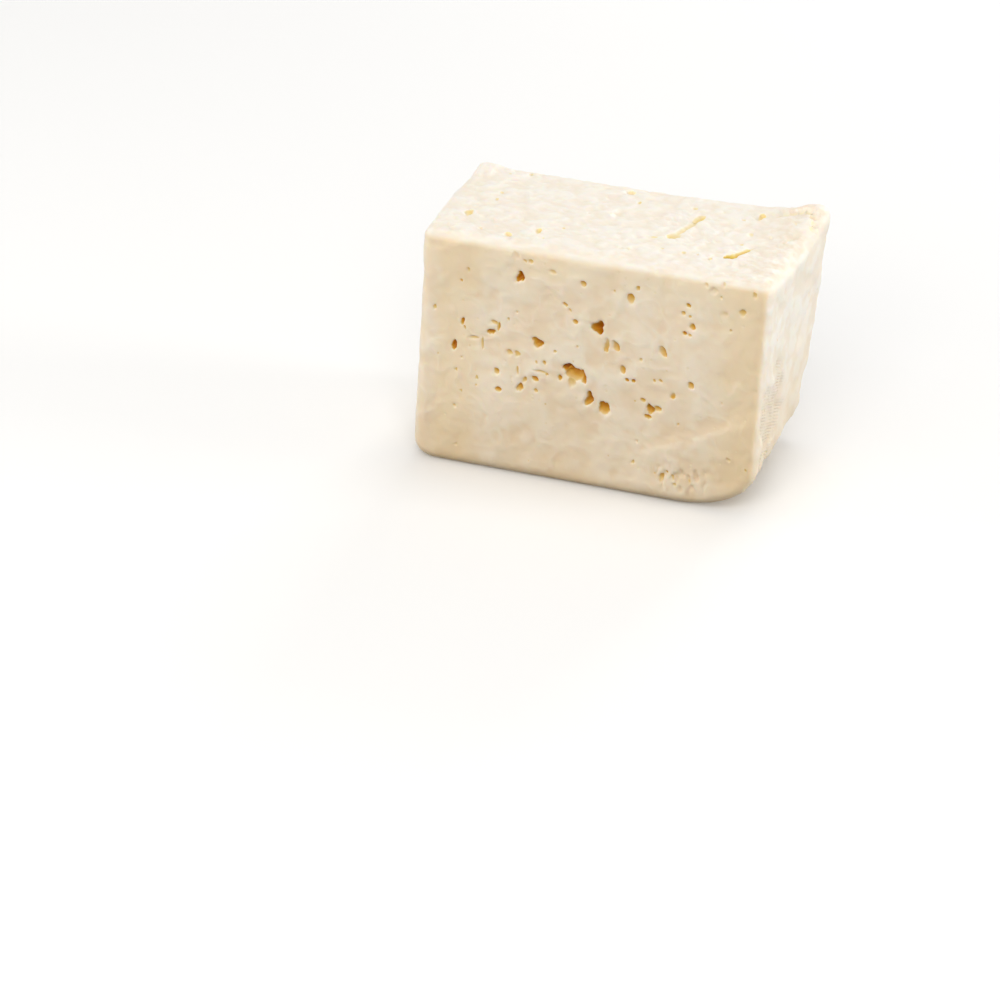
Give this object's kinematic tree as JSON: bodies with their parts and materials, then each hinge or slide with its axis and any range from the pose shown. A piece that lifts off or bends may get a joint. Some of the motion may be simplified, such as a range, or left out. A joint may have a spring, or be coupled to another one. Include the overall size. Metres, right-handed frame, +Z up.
{
  "type": "white sheep cheese block",
  "caption": "Thick block of white brined sheep cheese with a rounded lower edge, small curd holes in its cut face and a fine flaky top.",
  "frame": {"origin": "centre of the bounding box's bottom, on the flat foot that the block rests on", "axes": "+X along the block's length towards its rounded end, -Y out of the cut front face with the many holes, +Z up"},
  "size_m": [0.1174, 0.0598, 0.0837],
  "materials": {
    "cheese": "moist ivory curd, matt to faintly satin"
  },
  "bodies": {
    "root": {"cheese_block": "cheese"}
  },
  "joints": []
}
